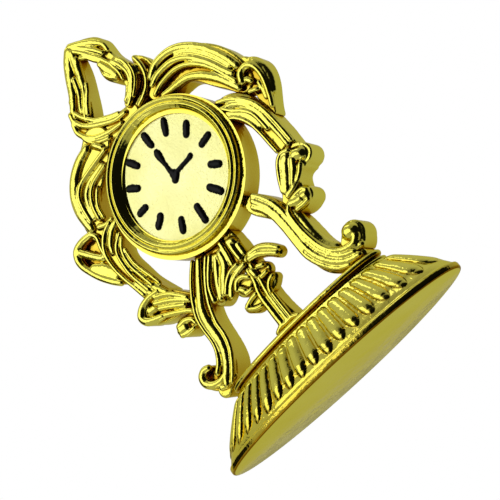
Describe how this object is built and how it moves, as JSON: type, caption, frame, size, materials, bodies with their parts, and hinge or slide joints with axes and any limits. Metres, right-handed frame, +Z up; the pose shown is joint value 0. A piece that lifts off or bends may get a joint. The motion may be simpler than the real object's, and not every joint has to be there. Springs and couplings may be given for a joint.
{
  "type": "miniature mantel clock",
  "caption": "Dolls-house rococo mantel clock: a round dial held in open leaf scrollwork with a looped crest, on two scrolled legs over a fluted oval foot.",
  "frame": {"origin": "centre of the bounding box, on the underside of the foot", "axes": "+Z up, dial faces -Y, +X to the right seen from the front"},
  "size_m": [0.0294, 0.0104, 0.045],
  "materials": {
    "gold_plate": "polished gold plate over a white-metal casting",
    "dial_gilt": "fine-grained satin gilt",
    "black_enamel": "gloss black enamel"
  },
  "bodies": {
    "root": {"base_plinth": "gold_plate", "base_rail": "gold_plate", "bezel": "gold_plate", "centre_stem": "gold_plate", "crest_bud": "gold_plate", "crest_collar_left": "gold_plate", "crest_collar_right": "gold_plate", "crest_strand_left": "gold_plate", "crest_strand_right": "gold_plate", "dial_case": "gold_plate", "dial_plate": "dial_gilt", "foot_curl_left": "gold_plate", "foot_curl_right": "gold_plate", "hand_hub": "black_enamel", "horn_left": "gold_plate", "horn_right": "gold_plate", "hour_hand": "black_enamel", "hour_marks": "black_enamel", "knee_bud_left": "gold_plate", "knee_bud_right": "gold_plate", "leg_left": "gold_plate", "leg_right": "gold_plate", "mid_leaf_left": "gold_plate", "mid_leaf_right": "gold_plate", "minute_hand": "black_enamel", "shoulder_curl_right": "gold_plate", "shoulder_leaf_left": "gold_plate", "side_spray_left": "gold_plate", "side_spray_right": "gold_plate", "stem_bud_left": "gold_plate", "stem_bud_right": "gold_plate", "stem_leaf_left": "gold_plate", "stem_leaf_right": "gold_plate", "upper_spray_left": "gold_plate", "upper_spray_right": "gold_plate", "upper_stem": "gold_plate", "web_leaf": "gold_plate"}
  },
  "joints": []
}
